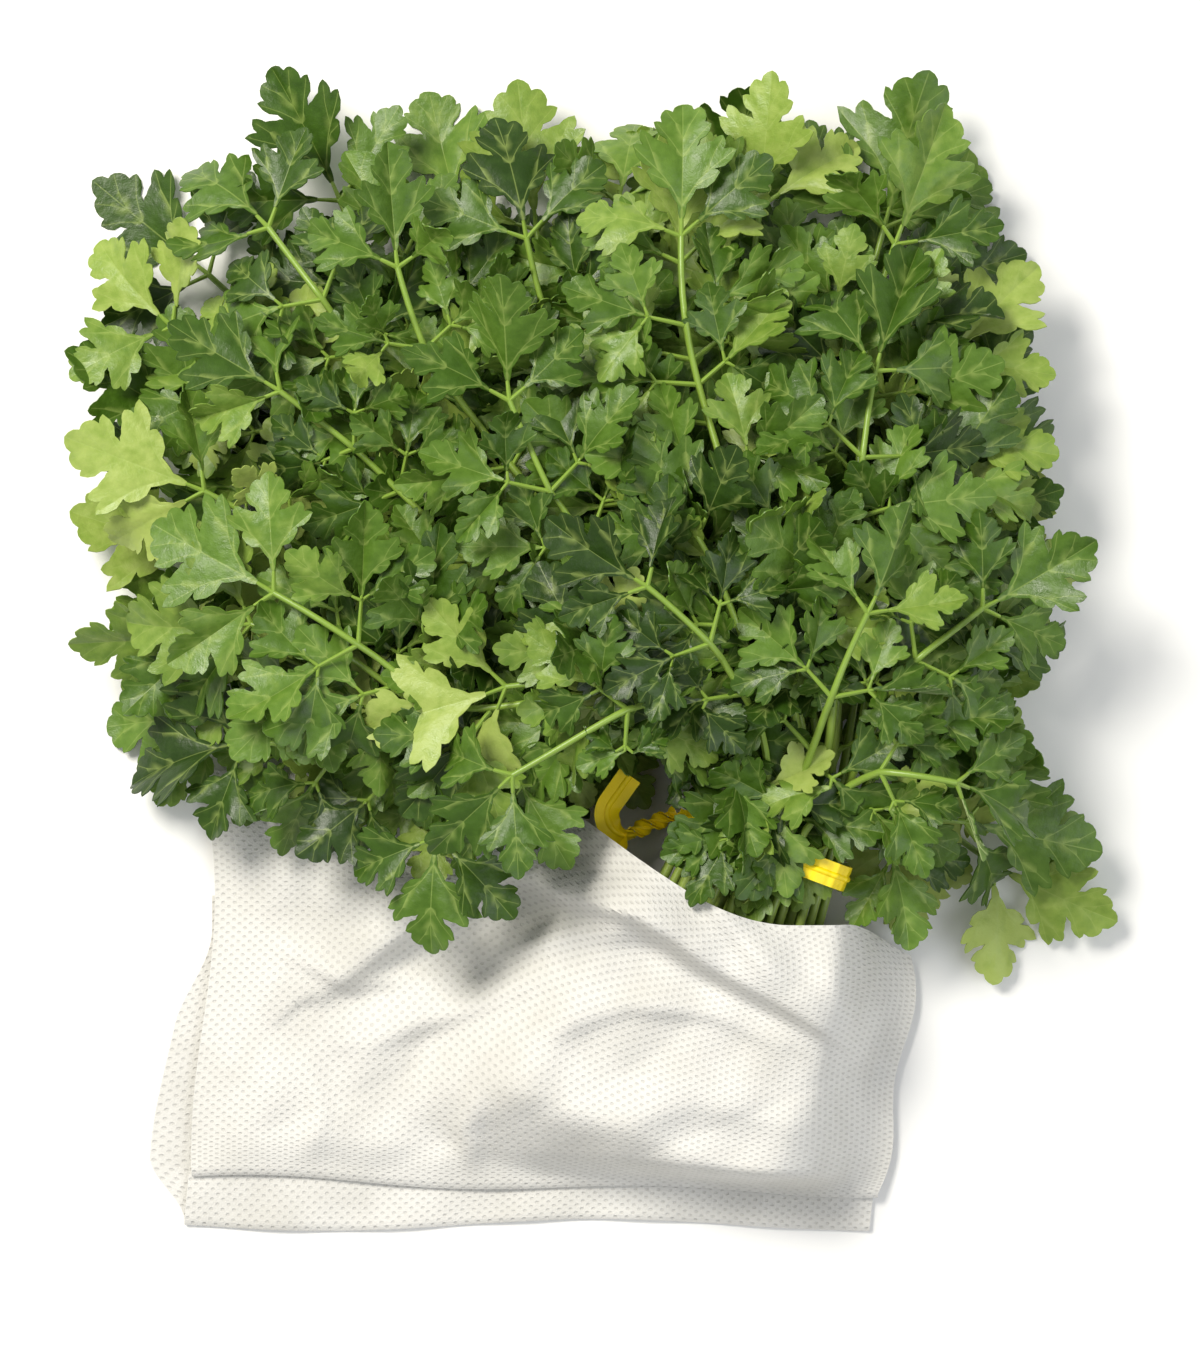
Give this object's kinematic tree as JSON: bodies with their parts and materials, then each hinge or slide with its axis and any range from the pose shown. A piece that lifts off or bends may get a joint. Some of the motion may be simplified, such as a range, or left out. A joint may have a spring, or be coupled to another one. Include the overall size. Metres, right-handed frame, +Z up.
{
  "type": "parsley bunch",
  "caption": "Bunch of flat-leaf parsley lying on its side, stems held by a yellow twist tie and wrapped at their ends in a folded paper towel.",
  "frame": {"origin": "middle of the lying bunch's bounding box, at the surface it rests on", "axes": "+Y from the wrapped stem ends to the leaf tips, +Z up through the bunch as it lies, +X across it"},
  "size_m": [0.2627, 0.2924, 0.0696],
  "materials": {
    "parsley": "fresh green leaf, soft gloss on top, matt and paler beneath, with yellow-green ribbed stems",
    "twist_tie": "yellow paper and plastic ribbon with a wire along its middle",
    "paper_towel": "soft white embossed two-ply paper, slightly damp"
  },
  "bodies": {
    "root": {"sprig_01": "parsley", "sprig_02": "parsley", "sprig_03": "parsley", "sprig_04": "parsley", "sprig_05": "parsley", "sprig_06": "parsley", "sprig_07": "parsley", "sprig_08": "parsley", "sprig_09": "parsley", "sprig_10": "parsley", "sprig_11": "parsley", "sprig_12": "parsley", "sprig_13": "parsley", "sprig_14": "parsley", "sprig_15": "parsley", "sprig_16": "parsley", "sprig_17": "parsley", "sprig_18": "parsley", "sprig_19": "parsley", "sprig_20": "parsley", "sprig_21": "parsley", "sprig_22": "parsley", "sprig_23": "parsley", "sprig_24": "parsley", "sprig_25": "parsley", "sprig_26": "parsley", "sprig_27": "parsley", "sprig_28": "parsley", "sprig_29": "parsley", "sprig_30": "parsley", "sprig_31": "parsley", "sprig_32": "parsley", "sprig_33": "parsley", "sprig_34": "parsley", "sprig_35": "parsley", "sprig_36": "parsley", "sprig_37": "parsley", "sprig_38": "parsley", "sprig_39": "parsley", "sprig_40": "parsley", "sprig_41": "parsley", "sprig_42": "parsley", "sprig_43": "parsley", "sprig_44": "parsley", "sprig_45": "parsley", "sprig_46": "parsley", "sprig_47": "parsley", "sprig_48": "parsley", "sprig_49": "parsley", "sprig_50": "parsley", "sprig_51": "parsley", "sprig_52": "parsley", "sprig_53": "parsley", "twist_tie": "twist_tie", "paper_towel": "paper_towel"}
  },
  "joints": []
}
